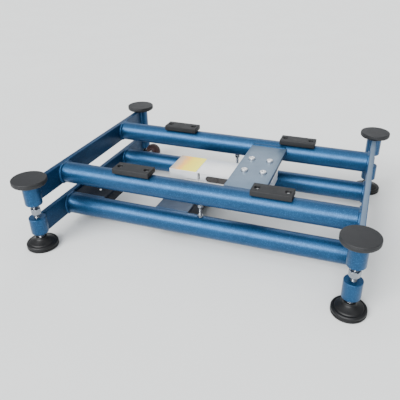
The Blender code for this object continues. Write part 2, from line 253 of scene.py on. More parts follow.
MAT_TUBE = paint("blue_powder_coat", (0.0022, 0.044, 0.118), (0.0028, 0.052, 0.138),
                 (0.0040, 0.062, 0.162))
MAT_PLATE = paint("blue_powder_coat_flats", (0.0018, 0.028, 0.078), (0.0022, 0.034, 0.092),
                  (0.0030, 0.041, 0.108), metal=0.50, coat=0.05, spec=0.25)
# A lighter copy of the flats' paint for the load frame's right end plate: painted light, and its pale top is
# painted reflection.
MAT_PLATE_PAINTED_LIGHT = paint("blue_powder_coat_painted_light_flats", rgb(24, 66, 104), rgb(29, 74, 114),
                      rgb(35, 83, 124), painted_reflection_top=rgb(104, 122, 141), painted_reflection_amount=0.92, metal=0.3,
                      coat=0.05, spec=0.3)
# Darker and greyer than the tube paint: painted shade for the cross channel under the load cell; its pale top
# is painted reflection.
MAT_CHANNEL = paint("blue_powder_coat_channel", rgb(13, 22, 34), rgb(16, 26, 40), rgb(20, 31, 47),
                    painted_reflection_top=rgb(46, 66, 90), painted_reflection_amount=0.90, metal=0.15, coat=0.0, spec=0.3)
# Near-black copy of the frame paint for the column mount channel: painted shade, as it sits in shade between
# the tubes.
MAT_BRACKET = paint("painted_shade_powder_coat", rgb(5, 13, 24), rgb(7, 17, 30), rgb(9, 21, 36), metal=0.0,
                    coat=0.0, spec=0.12)
# The bridge plate's greyer blue and its pale top are painted reflection of the bright surroundings on the
# frame's blue paint.
MAT_BRIDGE = paint("bridge_powder_coat", rgb(30, 50, 76), rgb(36, 58, 86), rgb(43, 67, 97),
                   painted_reflection_top=rgb(104, 124, 143), painted_reflection_amount=0.96, metal=0.3, coat=0.05)


def rubber(name, base, contrast, rough):
    m = Mat(name, rough, 0.0, Specular_IOR_Level=0.35)
    dust_and_reflection = m.noise(70.0, 5.0, 0.65)
    col = m.ramp(dust_and_reflection, [(0.25, tuple(c * (1 - contrast) for c in base)), (0.5, base),
                        (0.8, tuple(c * (1 + contrast) for c in base))])
    pit = m.noise(1500.0, 3.0, 0.7)
    col = m.mix(1.0, col, m.grey(m.span(pit, 0.3, 0.7, 0.88, 1.14)), "MULTIPLY")
    m.base(col)
    m.rough(m.span(dust_and_reflection, 0.3, 0.7, rough - 0.07, rough + 0.08))
    m.bump((m.noise(300.0, 3.0), 0.25, 0.00012), (pit, 0.30, 0.00007))
    return m.m


MAT_PAD = rubber("pad_rubber", rgb(34, 35, 37), 0.22, 0.52)
MAT_BLOCK = rubber("rest_block_rubber", rgb(30, 31, 33), 0.18, 0.58)
MAT_FOOT = rubber("foot_plastic", rgb(10, 11, 13), 0.18, 0.46)
MAT_KNOB = rubber("knob_plastic", rgb(66, 48, 48), 0.16, 0.55)


def zinc(name, base, rough):
    m = Mat(name, rough, 1.0)
    cloud = m.noise(320.0, 4.0, 0.6)
    m.base(m.ramp(cloud, [(0.25, tuple(c * 0.80 for c in base)), (0.55, base),
                          (0.85, tuple(min(1.0, c * 1.1) for c in base))]))
    m.rough(m.span(cloud, 0.3, 0.7, rough - 0.05, rough + 0.12))
    m.bump((m.noise(1800.0, 2.0), 0.12, 0.00003))
    return m.m


MAT_ZINC = zinc("bright_zinc", rgb(146, 151, 158), 0.13)
MAT_SCREW = zinc("screw_zinc", rgb(246, 247, 248), 0.40)


def brushed(name, base, rough, metal, along=(60.0, 2600.0, 2600.0)):
    m = Mat(name, rough, metal)
    streak = m.noise(1.0, 3.0, 0.6, m.scaled(along))
    cloud = m.noise(45.0, 3.0)
    col = m.ramp(streak, [(0.2, tuple(c * 0.86 for c in base)), (0.55, base),
                          (0.85, tuple(min(1.0, c * 1.06) for c in base))])
    col = m.mix(1.0, col, m.grey(m.span(cloud, 0.3, 0.7, 0.95, 1.04)), "MULTIPLY")
    m.base(col)
    m.rough(m.span(streak, 0.3, 0.7, rough - 0.06, rough + 0.10))
    m.bump((streak, 0.14, 0.00004))
    return m.m


MAT_CELL = brushed("brushed_aluminium", rgb(250, 251, 252), 0.36, 0.60)


def gold_label():
    m = Mat("gold_label", 0.45, 0.0, Specular_IOR_Level=0.2)
    s = m.node("ShaderNodeSeparateXYZ")
    m.link(m.coord, s.inputs[0])
    # warm orange towards the outer end, pale yellow towards the middle: the yellow is the label's own, the grey
    # and orange shift along it is painted reflection on the gold foil
    along = m.span(s.outputs["X"], -0.076, -0.031, 0.0, 1.0)
    wob = m.math("ADD", along, m.span(m.noise(40.0, 2.0), 0.3, 0.7, -0.08, 0.08))
    col = m.ramp(wob, [(0.0, rgb(168, 160, 152)), (0.16, rgb(206, 176, 146)),
                       (0.30, rgb(252, 188, 96)), (0.50, rgb(255, 228, 70)),
                       (1.0, rgb(255, 246, 92))])
    fine = m.noise(1.0, 2.0, 0.6, m.scaled((2400.0, 90.0, 90.0)))
    col = m.mix(1.0, col, m.grey(m.span(fine, 0.3, 0.7, 0.94, 1.05)), "MULTIPLY")
    m.base(col)
    m.rough(m.span(fine, 0.3, 0.7, 0.28, 0.42))
    m.bump((fine, 0.08, 0.00002))
    return m.m


MAT_GOLD = gold_label()


def sealant():
    m = Mat("grey_sealant", 0.55, 0.0)
    n = m.noise(260.0, 4.0, 0.6)
    m.base(m.ramp(n, [(0.25, rgb(44, 42, 41)), (0.55, rgb(58, 55, 54)), (0.8, rgb(72, 69, 67))]))
    m.bump((n, 0.4, 0.0002))
    return m.m


MAT_SEAL = sealant()


# A near-black material for filling a gap that looks dark only from shade: painted shade.
def painted_shade_fill():
    m = Mat("painted_shade_seam", 0.8, 0.0)
    n = m.noise(300.0, 2.0)
    m.base(m.ramp(n, [(0.3, rgb(16, 18, 22)), (0.7, rgb(30, 32, 36))]))
    return m.m


MAT_PAINTED_SHADE = painted_shade_fill()


# ---------------------------------------------------------------------------
# geometry helpers
# ---------------------------------------------------------------------------
def revolve(rows, n=96, closed=False, phase=0.0):
    """Rows of (radius, z); either may be a function of the angle."""
    verts, rings, faces = [], [], []
    for r, z in rows:
        if not callable(r) and r == 0.0:
            verts.append((0.0, 0.0, z))
            rings.append([len(verts) - 1])
            continue
        ring = []
        for i in range(n):
            a = TAU * i / n + phase
            rr = r(a) if callable(r) else r
            zz = z(a) if callable(z) else z
            ring.append(len(verts))
            verts.append((rr * math.cos(a), rr * math.sin(a), zz))
        rings.append(ring)
    pairs = list(zip(rings, rings[1:]))
    if closed:
        pairs.append((rings[-1], rings[0]))
    for a, b in pairs:
        if len(a) == 1 and len(b) == 1:
            continue
        for i in range(n):
            j = (i + 1) % n
            if len(a) == 1:
                faces.append((a[0], b[i], b[j]))
            elif len(b) == 1:
                faces.append((a[i], b[0], a[j]))
            else:
                faces.append((a[i], b[i], b[j], a[j]))
    return verts, faces


def soften(points, radius, n=4):
    """Rounds the inner corners of a profile; radius may be one per corner."""
    out = [points[0]]
    for k in range(1, len(points) - 1):
        rad = radius[k] if isinstance(radius, (list, tuple)) else radius
        p, a, b = Vector(points[k]), Vector(points[k - 1]), Vector(points[k + 1])
        la, lb = (a - p).length, (b - p).length
        d = min(rad, la * 0.48, lb * 0.48)
        if d < 1e-6:
            out.append(tuple(p))
            continue
        s, e = p + (a - p).normalized() * d, p + (b - p).normalized() * d
        for i in range(n + 1):
            t = i / n
            q = s * (1 - t) ** 2 + p * 2 * t * (1 - t) + e * t * t
            out.append((q.x, q.y))
    out.append(points[-1])
    return out


AXIS = {"Z": Matrix.Identity(4),
        "X": Matrix(((0, 0, 1, 0), (1, 0, 0, 0), (0, 1, 0, 0), (0, 0, 0, 1))),
        "Y": Matrix(((0, 1, 0, 0), (0, 0, 1, 0), (1, 0, 0, 0), (0, 0, 0, 1)))}


def place(data, centre=(0, 0, 0), axis="Z"):
    """Moves a mesh made about local Z to a world axis through centre."""
    m = Matrix.Translation(centre) @ AXIS[axis]
    verts, faces = data
    return [tuple(m @ Vector(v)) for v in verts], faces


def join(*many):
    verts, faces = [], []
    for v, f in many:
        k = len(verts)
        verts.extend(v)
        faces.extend(tuple(i + k for i in face) for face in f)
    return verts, faces


def rounded_box(lo, hi, bevel, segs=3, cuts_x=0):
    bm = bmesh.new()
    bmesh.ops.create_cube(bm, size=1.0)
    bmesh.ops.scale(bm, vec=[hi[i] - lo[i] for i in range(3)], verts=bm.verts)
    bmesh.ops.translate(bm, vec=[(hi[i] + lo[i]) / 2 for i in range(3)], verts=bm.verts)
    if bevel:
        bmesh.ops.bevel(bm, geom=list(bm.edges), offset=bevel, segments=segs,
                        profile=0.5, affect="EDGES", clamp_overlap=True)
    for i in range(1, cuts_x + 1):
        x = lo[0] + (hi[0] - lo[0]) * i / (cuts_x + 1)
        bmesh.ops.bisect_plane(bm, geom=list(bm.verts) + list(bm.edges) + list(bm.faces),
                               plane_co=(x, 0, 0), plane_no=(1, 0, 0))
    bm.verts.index_update()
    verts = [tuple(v.co) for v in bm.verts]
    faces = [tuple(v.index for v in f.verts) for f in bm.faces]
    bm.free()
    return verts, faces


def extrude_xz(outline, y0, y1):
    """A closed outline of (x, z) points, extruded along Y."""
    n = len(outline)
    verts = [(x, y0, z) for x, z in outline] + [(x, y1, z) for x, z in outline]
    faces = [tuple(range(n - 1, -1, -1)), tuple(range(n, 2 * n))]
    for i in range(n):
        j = (i + 1) % n
        faces.append((i, j, n + j, n + i))
    return verts, faces


def to_object(name, data, smooth=35.0):
    verts, faces = data
    me = bpy.data.meshes.new(name)
    me.from_pydata(verts, [], faces)
    bm = bmesh.new()
    bm.from_mesh(me)
    bmesh.ops.recalc_face_normals(bm, faces=list(bm.faces))
    bm.to_mesh(me)
    bm.free()
    ob = bpy.data.objects.new(name, me)
    scene.collection.objects.link(ob)
    me.shade_smooth()
    me.set_sharp_from_angle(angle=math.radians(smooth))
    return ob


def carve(ob, *cutters, op="DIFFERENCE", smooth=35.0):
    made = []
    for k, data in enumerate(cutters):
        c = to_object("cutter_%d" % k, data)
        mod = ob.modifiers.new("cut", "BOOLEAN")
        mod.operation, mod.solver, mod.object = op, "EXACT", c
        made.append(c)
    deps = bpy.context.evaluated_depsgraph_get()
    me = bpy.data.meshes.new_from_object(ob.evaluated_get(deps))
    ob.modifiers.clear()
    old, ob.data = ob.data, me
    bpy.data.meshes.remove(old)
    for c in made:
        bpy.data.objects.remove(c, do_unlink=True)
    bm = bmesh.new()
    bm.from_mesh(me)
    bmesh.ops.remove_doubles(bm, verts=list(bm.verts), dist=0.000002)
    bm.to_mesh(me)
    bm.free()
    me.shade_smooth()
    me.set_sharp_from_angle(angle=math.radians(smooth))
    return ob


def give(ob, mat, body, node=None):
    ob.data.materials.clear()
    ob.data.materials.append(mat)
    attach(ob, body)
    if node:
        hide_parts(node)
    return ob


def piece(name, data, mat, body, node=None, smooth=35.0):
    return give(to_object(name, data, smooth), mat, body, node)


def cyl(r, z0, z1, n=64):
    return revolve([(0.0, z1), (r, z1), (r, z0), (0.0, z0)], n)


def hex_r(across_flats, turn=0.0):
    def f(a):
        t = (a + turn + math.pi / 6) % (math.pi / 3) - math.pi / 6
        return across_flats / 2 / math.cos(t)
    return f


def hex_nut(af, z0, z1, bore, turn=0.0, n=72, washer=0.0):
    """Chamfered hexagon nut, bore along Z."""
    hx = hex_r(af, turn)
    face = af / 2 * 0.95

    def cone(drop):
        return lambda a: min(hx(a), face + drop * 1.73)
    drops = [0.0, 0.0002, 0.0004, 0.0006, 0.0008, 0.0011]
    rows = [(bore, z0 + 0.0004), (bore, z1 - 0.0004), (bore + 0.0004, z1)]
    rows += [(cone(d), z1 - d) for d in drops]
    rows += [(cone(d), z0 + d) for d in reversed(drops)]
    rows += [(bore + 0.0004, z0)]
    return revolve(rows, n, closed=True)


def thread_rod(r, depth, pitch, z0, z1, plain_below=None, n=32, per=6, chamfer=0.0008):
    """A rod with a helical V thread between plain_below and z1."""
    start = z0 if plain_below is None else plain_below

    def radius(z):
        end = min(r, r - chamfer + (z1 - z) * 1.0, r - chamfer + (z - z0) * 1.0)
        blend_in = min(1.0, max(0.0, (z - start) / (pitch * 0.75)))

        def f(a):
            t = (z / pitch - a / TAU) % 1.0
            v = abs(t - 0.5) * 2.0            # 1 at the crest, 0 at the root
            v = min(1.0, max(0.0, (v - 0.10) / 0.78))
            rr = r - depth * (1.0 - v)
            rr = (r - depth * 0.5) * (1 - blend_in) + rr * blend_in
            return min(rr, end)
        return f
    rows = [(0.0, z1)]
    k = int(math.ceil((z1 - start) / (pitch / per)))
    for i in range(k + 1):
        z = z1 - (z1 - start) * i / k
        rows.append((radius(z), z))
    if start > z0:
        rows += [(r - depth * 0.5, z0 + chamfer), (r - depth * 0.5 - chamfer, z0)]
    rows.append((0.0, z0))
    return revolve(rows, n)


def socket_screw(head_r, z_top, z_under, shank_r, z_end, socket_af, socket_depth,
                 edge=0.0006, n=72):
    hx = hex_r(socket_af)
    rows = [(0.0, z_top - socket_depth - socket_af * 0.18),
            (socket_af * 0.30, z_top - socket_depth - socket_af * 0.06),
            (hx, z_top - socket_depth), (hx, z_top - 0.0003),
            (socket_af / 2 * 1.22, z_top)]
    outer = [(socket_af / 2 * 1.22, z_top), (head_r, z_top), (head_r, z_under),
             (shank_r, z_under), (shank_r, z_end), (0.0, z_end)]
    outer = soften(outer, [0, edge, 0.0003, 0.0002, 0.0006, 0], 4)
    return revolve(rows + outer[1:], n)


def bead(points, a_dirs, b_dirs, width, closed=False, seg=7, pitch=0.0021, ripple=0.10,
         a_scale=None, start=0.0):
    """A convex weld bead along points, lying between the surfaces a and b."""
    n = len(points)
    s, run = [0.0], 0.0
    for p, q in zip(points, points[1:]):
        run += (Vector(q) - Vector(p)).length
        s.append(run)
    total = run + ((Vector(points[0]) - Vector(points[-1])).length if closed else 0.0)
    if closed:
        pitch = total / max(1, round(total / pitch))
    verts, faces, rings = [], [], []
    for i in range(n):
        p, a, b = Vector(points[i]), Vector(a_dirs[i]), Vector(b_dirs[i])
        phase = ((s[i] + start) / pitch) % 1.0
        # each freeze line rises slowly and drops fast
        w = width * (1.0 + ripple * (phase ** 1.6 - 0.4) + 0.05 * math.sin(s[i] * 310.0))
        if not closed:
            t = min(s[i], total - s[i]) / (width * 0.9)
            if t < 1.0:
                w *= math.sqrt(max(0.06, 1 - (1 - t) ** 2))
        wa = w if a_scale is None else min(w, a_scale[i])
        ring = []
        for k in range(seg + 1):
            f = math.pi / 2 * k / seg
            q = p + a * (wa * math.cos(f) ** 0.72) + b * (w * math.sin(f) ** 0.72)
            if k == 0:
                q -= b * 0.00012
            if k == seg:
                q -= a * 0.00012
            ring.append(len(verts))
            verts.append(tuple(q))
        ring.append(len(verts))
        verts.append(tuple(p - a * 0.0004 - b * 0.0004))
        rings.append(ring)
    m = seg + 2
    pairs = list(zip(rings, rings[1:]))
    if closed:
        pairs.append((rings[-1], rings[0]))
    for ra, rb in pairs:
        for k in range(m):
            j = (k + 1) % m
            faces.append((ra[k], rb[k], rb[j], ra[j]))
    if not closed:
        faces.append(tuple(rings[0]))
        faces.append(tuple(reversed(rings[-1])))
    return verts, faces


def line(p, q, n):
    p, q = Vector(p), Vector(q)
    return [tuple(p.lerp(q, i / n)) for i in range(n + 1)]


# ---------------------------------------------------------------------------
# places read from the frame
# ---------------------------------------------------------------------------
def mid(node):
    lo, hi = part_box(node)
    return (lo + hi) / 2


CORNERS = ("front_left", "front_right", "rear_left", "rear_right")
PLATE_X = mid("load_end_plate_right").x
BOSS_Y = mid("load_boss_rear_left").y
TUBE_Y = mid("load_tube_rear").y
TUBE_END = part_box("load_tube_front")[1].x
TUBE_R = (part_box("load_tube_front")[1].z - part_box("load_tube_front")[0].z) / 2
TUBE_WALL = 0.0025
UP_Z, LOW_Z = mid("load_tube_front").z, mid("base_tube_front").z
BOSS_R = (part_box("load_boss_front_left")[1].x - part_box("load_boss_front_left")[0].x) / 2
KNOB_AT = mid("column_clamp_knob")

# ---------------------------------------------------------------------------
# tubes, end plates, bosses
# ---------------------------------------------------------------------------
for body, tag, zc in (("load_frame", "load", UP_Z), ("base_frame", "base", LOW_Z)):
    for side, y in (("front", -TUBE_Y), ("rear", TUBE_Y)):
        ri = TUBE_R - TUBE_WALL
        e = TUBE_END
        rows = [(ri, -e + 0.0002), (ri + 0.0002, -e), (TUBE_R - 0.0004, -e), (TUBE_R, -e + 0.0004)]
        rows += [(TUBE_R, -e + 0.0004 + (2 * e - 0.0008) * i / 24) for i in range(1, 25)]
        rows += [(TUBE_R - 0.0004, e), (ri + 0.0002, e), (ri, e - 0.0002)]
        ob = to_object("pipe_%s_%s" % (tag, side),
                       place(revolve(rows, 128, closed=True), (0, y, zc), "X"))
        if tag == "base":
            cuts = [place(cyl(0.0026, 0.038, 0.060, 32), (0, y, 0))]
            if side == "rear":
                cuts.append(place(cyl(0.0042, 0.095, 0.115, 32), (KNOB_AT.x, 0, KNOB_AT.z), "Y"))
            carve(ob, *cuts)
        give(ob, MAT_TUBE, body, "%s_tube_%s" % (tag, side))

for body, tag in (("load_frame", "load"), ("base_frame", "base")):
    for side in ("left", "right"):
        node = "%s_end_plate_%s" % (tag, side)
        lo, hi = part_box(node)
        # The right load plate takes the lighter copy: painted light.
        mat = MAT_PLATE_PAINTED_LIGHT if (tag, side) == ("load", "right") else MAT_PLATE
        piece("bar_%s_%s" % (tag, side), rounded_box(lo, hi, 0.0011, 3), mat, body,
              node)
    for c in CORNERS:
        node = "%s_boss_%s" % (tag, c)
        lo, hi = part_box(node)
        x, y = (lo.x + hi.x) / 2, (lo.y + hi.y) / 2
        bore, STOP_BORE = 0.00515, 0.0042
        if tag == "load":
            rows = soften([(0.0, 0.0865), (bore, 0.0865), (bore, hi.z), (BOSS_R, hi.z),
                           (BOSS_R, lo.z), (0.0, lo.z)], [0, 0, 0.0004, 0.0011, 0.0016, 0], 5)
            data = revolve(rows, 96)
        else:
            rows = soften([(bore, lo.z + 0.004), (bore, 0.0385), (STOP_BORE, 0.0385), (STOP_BORE, hi.z),
                           (BOSS_R, hi.z), (BOSS_R, lo.z), (bore, lo.z), (bore, lo.z + 0.004)],
                          [0, 0, 0, 0.0004, 0.0009, 0.0018, 0.0004, 0], 5)[:-1]
            data = revolve(rows, 96, closed=True)
        piece("bush_%s_%s" % (tag, c), place(data, (x, y, 0)), MAT_TUBE, body, node)

# ---------------------------------------------------------------------------
# weld beads
# ---------------------------------------------------------------------------
def tube_ring(zc, y, sx, zlo, zhi, w=0.0027, n=220):
    xp = sx * (PLATE_X - 0.004)
    pts, a, b, lim = [], [], [], []
    for i in range(n):
        t = TAU * i / n
        c, s = math.cos(t), math.sin(t)
        pts.append((xp, y + TUBE_R * c, zc + TUBE_R * s))
        a.append((0, c, s))
        b.append((-sx, 0, 0))
        z = zc + TUBE_R * s
        room = 1.0
        if s > 0.02:
            room = (zhi - z) / s
        elif s < -0.02:
            room = (zlo - z) / s
        lim.append(max(0.0005, min(w * 1.1, room - 0.0002)))
    return bead(pts, a, b, w, closed=True, a_scale=lim, start=y)


def boss_lines(cx, cy, zlo, zhi, w=0.0026):
    """Fillets where an end plate's two faces meet a boss."""
    out = []
    sy = 1 if cy > 0 else -1
    for fx in (-0.004, 0.004):
        y = cy - sy * math.sqrt(BOSS_R ** 2 - fx ** 2)
        s = 1 if fx > 0 else -1
        tang = Vector((s * abs(y - cy) / BOSS_R, sy * abs(fx) / BOSS_R, 0))
        pts = line((cx + fx, y + sy * 0.0001, zlo + 0.0006), (cx + fx, y + sy * 0.0001, zhi - 0.0006), 72)
        out.append(bead(pts, [(0, -sy, 0)] * 73, [tuple(tang)] * 73, w, start=cy + fx))
    return out


def top_lines(cx, cy, z, w=0.0012):
    """The short bead across the plate's end, filling the gap to the boss."""
    sy = 1 if cy > 0 else -1
    pts, a, b = [], [], []
    for i in range(25):
        x = -0.0036 + 0.0072 * i / 24
        y = cy - sy * math.sqrt(BOSS_R ** 2 - x ** 2)
        pts.append((cx + x, y, z))
        a.append((0, -sy, 0))
        b.append((0, 0, 1))
    return bead(pts, a, b, w, pitch=0.0016)


def cross_line(x0, x1, z, zc, sy, w, below=False):
    """Along X, where a cross-member's face meets a tube."""
    dz = z - zc
    off = math.sqrt(TUBE_R ** 2 - dz ** 2)
    y = sy * (TUBE_Y - off)
    s = -1 if below else 1
    tang = Vector((0, sy * abs(dz) / TUBE_R, s * off / TUBE_R)) if (dz > 0) != below else \
        Vector((0, -sy * abs(dz) / TUBE_R, s * off / TUBE_R))
    n = max(40, int((x1 - x0) / 0.0004))
    return bead(line((x0, y, z), (x1, y, z), n), [(0, -sy, 0)] * (n + 1), [tuple(tang)] * (n + 1), w,
                start=x0 * sy)


load_welds, base_welds = [], []
for tag, zc, out in (("load", UP_Z, load_welds), ("base", LOW_Z, base_welds)):
    plo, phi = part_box("%s_end_plate_left" % tag)
    for sx in (-1, 1):
        for sy in (-1, 1):
            out.append(tube_ring(zc, sy * TUBE_Y, sx, plo.z, phi.z))
            blo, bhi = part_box("%s_boss_front_left" % tag)
            out.extend(boss_lines(sx * PLATE_X, sy * BOSS_Y, max(plo.z, blo.z), min(phi.z, bhi.z)))
blo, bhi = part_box("bridge_plate")
bridge_bottom = 0.0915
for sy in (-1, 1):
    load_welds.append(cross_line(blo.x + 0.0015, bhi.x - 0.0015, bhi.z, UP_Z, sy, 0.0030))
for node, sides in (("cell_cross_channel", (-1, 1)), ("column_mount_channel", (-1,))):
    clo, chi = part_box(node)
    for sy in sides:
        base_welds.append(cross_line(clo.x + 0.0012, chi.x - 0.0012, chi.z, LOW_Z, sy, 0.0030))
piece("load_frame_welds", join(*load_welds), MAT_TUBE, "load_frame", smooth=60)
piece("base_frame_welds", join(*base_welds), MAT_TUBE, "base_frame", smooth=60)

# ---------------------------------------------------------------------------
# pan pads, rest blocks
# ---------------------------------------------------------------------------
plo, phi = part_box("pan_pad_front_left")
PAD_R, PAD_T = (phi.x - plo.x) / 2, phi.z
pad_rows = [(0.0, PAD_T), (PAD_R - 0.0007, PAD_T), (PAD_R, PAD_T - 0.0007), (PAD_R, PAD_T - 0.0018),
            (PAD_R - 0.0004, PAD_T - 0.0021), (PAD_R - 0.0004, PAD_T - 0.0024),
            (PAD_R, PAD_T - 0.0027), (PAD_R, PAD_T - 0.0060), (PAD_R - 0.0016, PAD_T - 0.0077),
            (0.0049, PAD_T - 0.0077), (0.0049, plo.z), (0.0, plo.z)]
pad_data = revolve(soften(pad_rows, [0, 0.0005, 0.0005, 0.0002, 0.0001, 0.0001, 0.0002, 0.0008,
                                     0.0004, 0.0003, 0.0003, 0], 4), 96)
for c in CORNERS:
    m = mid("pan_pad_" + c)
    piece("corner_pad_" + c, place(pad_data, (m.x, m.y, 0)), MAT_PAD, "load_frame",
          "pan_pad_" + c, smooth=50)
    node = "rest_block_" + c
    lo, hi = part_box(node)
    ob = to_object("seat_block_" + c, rounded_box(lo, hi, 0.0008, 3))
    cuts = []
    for end in ("inner", "outer"):
        s = mid("rest_block_screw_%s_%s" % (c, end))
        cuts.append(place(revolve([(0.0, 0.120), (0.0046, 0.120), (0.0046, hi.z + 0.0001),
                                   (0.0042, hi.z - 0.0004), (0.0042, hi.z - 0.0065),
                                   (0.0023, hi.z - 0.0065), (0.0023, 0.095), (0.0, 0.095)], 48),
                          (s.x, s.y, 0)))
        sn = "rest_block_screw_%s_%s" % (c, end)
        slo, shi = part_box(sn)
        turn_screw = socket_screw(0.0034, shi.z, hi.z - 0.0062, 0.0020, slo.z, 0.0027, 0.0014, 0.0006, 60)
        piece("cap_screw_%s_%s" % (c, end), place(turn_screw, (s.x, s.y, 0)), MAT_SCREW,
              "load_frame", sn)
    carve(ob, *cuts)
    give(ob, MAT_BLOCK, "load_frame", node)

# ---------------------------------------------------------------------------
# bridge plate and its screws
# ---------------------------------------------------------------------------
lo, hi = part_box("bridge_plate")
plate = to_object("bridge", rounded_box((lo.x, -0.0790, bridge_bottom), (hi.x, 0.0790, hi.z), 0.0007, 2))
carve(plate, rounded_box((0.0330, -0.0260, lo.z), (0.0858, 0.0260, bridge_bottom + 0.002), 0.0004, 1),
      op="UNION")
cuts = [place(cyl(TUBE_R + 0.0001, -0.02, 0.12, 128), (0, sy * TUBE_Y, UP_Z), "X") for sy in (-1, 1)]
for t in ("front_inner", "front_outer", "rear_inner", "rear_outer"):
    s = mid("bridge_screw_" + t)
    slo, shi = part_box("bridge_screw_" + t)
    cuts.append(place(revolve([(0.0, 0.11), (0.0057, 0.11), (0.0057, hi.z + 0.0001),
                               (0.0053, hi.z - 0.0004), (0.0053, 0.0945), (0.0033, 0.0945),
                               (0.0033, 0.06), (0.0, 0.06)], 64), (s.x, s.y, 0)))
    turn_screw = socket_screw(0.0048, shi.z, 0.0947, 0.0029, slo.z, 0.0048, 0.0026, 0.0008, 72)
    piece("bridge_cap_screw_" + t, place(turn_screw, (s.x, s.y, 0)), MAT_SCREW, "load_frame",
          "bridge_screw_" + t)
carve(plate, *cuts)
give(plate, MAT_BRIDGE, "load_frame", "bridge_plate")

# ---------------------------------------------------------------------------
# load cell, label, sealant, riser
# ---------------------------------------------------------------------------
lo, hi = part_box("load_cell")
CELL_LO, CELL_HI = lo.copy(), hi.copy()


def stadium(x0, x1, zc, r, y0, y1, n=20):
    out = []
    for i in range(n + 1):
        a = math.pi / 2 + math.pi * i / n
        out.append((x0 + r * math.cos(a), zc + r * math.sin(a)))
    for i in range(n + 1):
        a = -math.pi / 2 + math.pi * i / n
        out.append((x1 + r * math.cos(a), zc + r * math.sin(a)))
    return extrude_xz(out, y0, y1)


cell = to_object("cell_body", rounded_box(lo, hi, 0.0006, 2, cuts_x=36))
carve(cell, stadium(-0.0105, 0.0205, 0.0758, 0.0054, -0.05, 0.05),
      rounded_box((-0.0287, -0.05, 0.0708), (-0.0249, 0.05, 0.0840), 0),
      rounded_box((-0.0494, -0.05, 0.0711), (-0.0277, 0.05, 0.0724), 0),
      rounded_box((-0.0314, -0.05, hi.z - 0.0005), (-0.0306, 0.05, 0.09), 0))
for t in ("front_inner", "front_outer", "rear_inner", "rear_outer"):
    s = mid("bridge_screw_" + t)
    carve(cell, place(cyl(0.0033, 0.06, 0.09, 40), (s.x, s.y, 0)))
cell.data.materials.clear()
cell.data.materials.append(MAT_CELL)
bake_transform(cell)
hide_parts("load_cell")


def cavity_fill(name, x0, x1, round_left):
    r = 0.00525
    zc = 0.0758
    pts = []
    n = 18
    if round_left:
        for i in range(n + 1):
            a = math.pi / 2 + math.pi * i / n
            pts.append((-0.0105 + r * math.cos(a), zc + r * math.sin(a)))
        pts += [(x1 - (x1 + 0.0105) * (1 - k / 6), zc - r) for k in range(1, 7)]
        pts += [(x1 - (x1 + 0.0105) * k / 6, zc + r) for k in range(0, 6)]
    else:
        for i in range(n + 1):
            a = -math.pi / 2 + math.pi * i / n
            pts.append((0.0205 + r * math.cos(a), zc + r * math.sin(a)))
        pts += [(x0 + (0.0205 - x0) * (1 - k / 6), zc + r) for k in range(1, 7)]
        pts += [(x0 + (0.0205 - x0) * k / 6, zc - r) for k in range(0, 6)]
    ob = to_object(name, extrude_xz(pts, CELL_LO.y + 0.0011, CELL_HI.y - 0.0011))
    ob.data.materials.append(MAT_SEAL)
    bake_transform(ob)


cavity_fill("sealant_left", -0.016, 0.0036, True)
cavity_fill("sealant_right", 0.0044, 0.0259, False)

piece("cell_label", rounded_box((lo.x + 0.0006, lo.y + 0.0006, hi.z - 0.0001),
                                (-0.0318, hi.y - 0.0006, hi.z + 0.00022), 0.00008, 1),
      MAT_GOLD, "base_frame")

rlo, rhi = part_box("cell_riser_block")
piece("riser", rounded_box(rlo, rhi, 0.0008, 2), MAT_CELL, "base_frame",
      "cell_riser_block")

# ---------------------------------------------------------------------------
# base cross-members
# ---------------------------------------------------------------------------
def channel(name, node, holes, mat, ends=(-0.0835, 0.0835), sides=(-1, 1)):
    lo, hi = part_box(node)
    t, ro, ri, n = 0.004, 0.0030, 0.0010, 6
    x0, x1, zb, zt = lo.x, hi.x, lo.z, hi.z
    pts = [(x0, zb), (x0, zt - ro)]
    pts += [(x0 + ro - ro * math.cos(math.pi / 2 * k / n), zt - ro + ro * math.sin(math.pi / 2 * k / n))
            for k in range(1, n + 1)]
    pts += [(x1 - ro + ro * math.sin(math.pi / 2 * k / n), zt - ro + ro * math.cos(math.pi / 2 * k / n))
            for k in range(0, n + 1)]
    pts += [(x1, zb), (x1 - t, zb), (x1 - t, zt - t - ri)]
    pts += [(x1 - t - ri + ri * math.cos(math.pi / 2 * k / 3), zt - t - ri + ri * math.sin(math.pi / 2 * k / 3))
            for k in range(1, 4)]
    pts += [(x0 + t + ri - ri * math.sin(math.pi / 2 * k / 3), zt - t - ri + ri * math.cos(math.pi / 2 * k / 3))
            for k in range(0, 4)]
    pts += [(x0 + t, zb)]
    ob = to_object(name, extrude_xz(pts, *ends))
    cuts = [place(cyl(TUBE_R + 0.0001, x0 - 0.01, x1 + 0.01, 128), (0, sy * TUBE_Y, LOW_Z), "X")
            for sy in sides]
    cuts += [place(cyl(r, 0.035, 0.060, 40), (x, y, 0)) for x, y, r in holes]
    carve(ob, *cuts)
    give(ob, mat, "base_frame", node)


BOLT_X, BOLT_Y = (-0.063, -0.041), 0.017
COLUMN_HOLE = (-0.182, -0.0616)
channel("cross_channel", "cell_cross_channel",
        [(x, sy * BOLT_Y, 0.0044) for x in BOLT_X for sy in (-1, 1)], MAT_CHANNEL)
channel("column_channel", "column_mount_channel", [(*COLUMN_HOLE, 0.0028)], MAT_BRACKET,
        (-0.0835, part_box("column_mount_channel")[1].y), (-1,))

